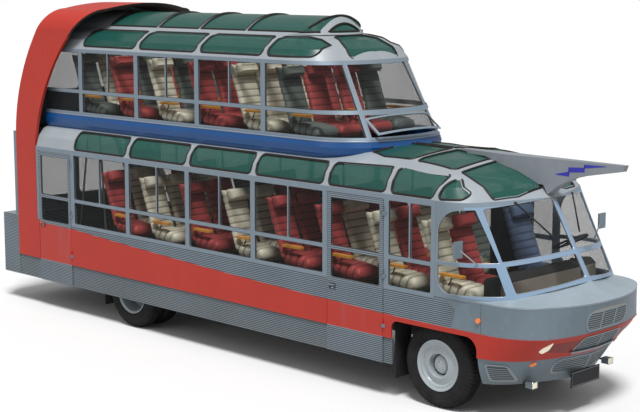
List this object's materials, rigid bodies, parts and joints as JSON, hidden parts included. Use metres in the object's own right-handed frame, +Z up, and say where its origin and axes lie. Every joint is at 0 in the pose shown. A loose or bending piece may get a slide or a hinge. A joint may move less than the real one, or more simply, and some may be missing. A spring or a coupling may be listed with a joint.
{
  "type": "double decker observation bus",
  "caption": "Two-deck sightseeing bus with a glazed upper deck, ribbed glass roofs, a red rear hoop, a beaked nose roof, hinged doors and steered front wheels.",
  "frame": {"origin": "on the ground under the middle of the bus", "axes": "+X forward, +Y to the bus's left, +Z up"},
  "size_m": [10.56, 2.94, 4.6],
  "materials": {
    "armrest_tan": "tan leather cloth",
    "band_red": "gloss red paint",
    "black_plastic": "matt black",
    "body_grey": "satin grey-blue paint",
    "chassis_paint": "matt black paint",
    "clear_glass": "clear",
    "engine_iron": "cast",
    "floor_lining": "dark linoleum",
    "green_glass": "green tinted",
    "grille_metal": "satin",
    "lamp_lens": "clear lens",
    "mirror_housing": "satin",
    "rib_metal": "satin light grey paint",
    "rim_paint": "satin grey paint",
    "seat_frame_metal": "satin",
    "seat_leather": "padded leather cloth",
    "tub_blue": "gloss blue paint",
    "tyre_rubber": "matt"
  },
  "bodies": {
    "root": {"armrests": "armrest_tan", "chassis_frame": "chassis_paint", "dashboard": "floor_lining", "door_hinges": "body_grey", "engine": "engine_iron", "front_axle": "chassis_paint", "grilles": "grille_metal", "hump_frame": "rib_metal", "lamps": "lamp_lens", "leaf_springs": "chassis_paint", "lower_floor": "floor_lining", "lower_roof": "rib_metal", "lower_roof_glass": "green_glass", "lower_seats": "seat_leather", "lower_window_frames": "body_grey", "lower_window_glass": "clear_glass", "luggage_box": "body_grey", "mirrors": "mirror_housing", "mud_flaps": "black_plastic", "nose_lower": "body_grey", "nose_upper": "body_grey", "number_plate": "black_plastic", "rear_axle": "chassis_paint", "rear_glass": "clear_glass", "rear_hoop": "band_red", "rear_wall": "body_grey", "red_band": "band_red", "roof_fin": "body_grey", "seat_stands": "seat_frame_metal", "skirts": "body_grey", "staircase": "seat_frame_metal", "steering_wheel": "black_plastic", "upper_floor": "floor_lining", "upper_roof": "rib_metal", "upper_roof_glass": "green_glass", "upper_seats": "seat_leather", "upper_tub": "tub_blue", "upper_window_frame": "body_grey", "upper_window_glass": "clear_glass", "vent_flap": "body_grey", "waist_panels": "body_grey", "windscreen_frame": "body_grey", "windscreen_glass": "clear_glass", "wipers": "black_plastic"},
    "knuckle_left": {"knuckle_left": "chassis_paint"},
    "knuckle_right": {"knuckle_right": "chassis_paint"},
    "wheel_front_left": {"tyre_front_left": "tyre_rubber", "rim_front_left": "rim_paint"},
    "wheel_front_right": {"tyre_front_right": "tyre_rubber", "rim_front_right": "rim_paint"},
    "wheels_rear_left": {"tyres_rear_left": "tyre_rubber", "rims_rear_left": "rim_paint"},
    "wheels_rear_right": {"tyres_rear_right": "tyre_rubber", "rims_rear_right": "rim_paint"},
    "front_door": {"front_door": "body_grey", "front_door_glass": "clear_glass"},
    "rear_door": {"rear_door": "body_grey", "rear_door_glass": "clear_glass"},
    "driver_door": {"driver_door": "body_grey", "driver_door_glass": "clear_glass"}
  },
  "joints": [
    {"name": "steer_left", "type": "hinge", "parent": "root", "child": "knuckle_left", "pos_m": [3.54, 0.76, 0.51], "axis": [0, 0, 1], "range_deg": [-32, 32]},
    {"name": "front_spin_left", "type": "hinge", "parent": "knuckle_left", "child": "wheel_front_left", "pos_m": [3.54, 0.965, 0.51], "axis": [0, 1, 0], "continuous": true},
    {"name": "rear_spin_left", "type": "hinge", "parent": "root", "child": "wheels_rear_left", "pos_m": [-2.17, 0.965, 0.51], "axis": [0, 1, 0], "continuous": true},
    {"name": "steer_right", "type": "hinge", "parent": "root", "child": "knuckle_right", "pos_m": [3.54, -0.76, 0.51], "axis": [0, 0, 1], "range_deg": [-32, 32]},
    {"name": "front_spin_right", "type": "hinge", "parent": "knuckle_right", "child": "wheel_front_right", "pos_m": [3.54, -0.965, 0.51], "axis": [0, 1, 0], "continuous": true},
    {"name": "rear_spin_right", "type": "hinge", "parent": "root", "child": "wheels_rear_right", "pos_m": [-2.17, -0.965, 0.51], "axis": [0, 1, 0], "continuous": true},
    {"name": "front_door_swing", "type": "hinge", "parent": "root", "child": "front_door", "pos_m": [2.784, -1.206, 1.4], "axis": [0, 0, 1], "range_deg": [0, 80]},
    {"name": "rear_door_swing", "type": "hinge", "parent": "root", "child": "rear_door", "pos_m": [-3.4305, -1.206, 1.4], "axis": [0, 0, 1], "range_deg": [0, 80]},
    {"name": "driver_door_swing", "type": "hinge", "parent": "root", "child": "driver_door", "pos_m": [2.784, 1.206, 1.4], "axis": [0, 0, -1], "range_deg": [0, 80]}
  ],
  "couplings": [
    {"joint": "steer_right", "follows": "steer_left", "ratio": 1}
  ]
}
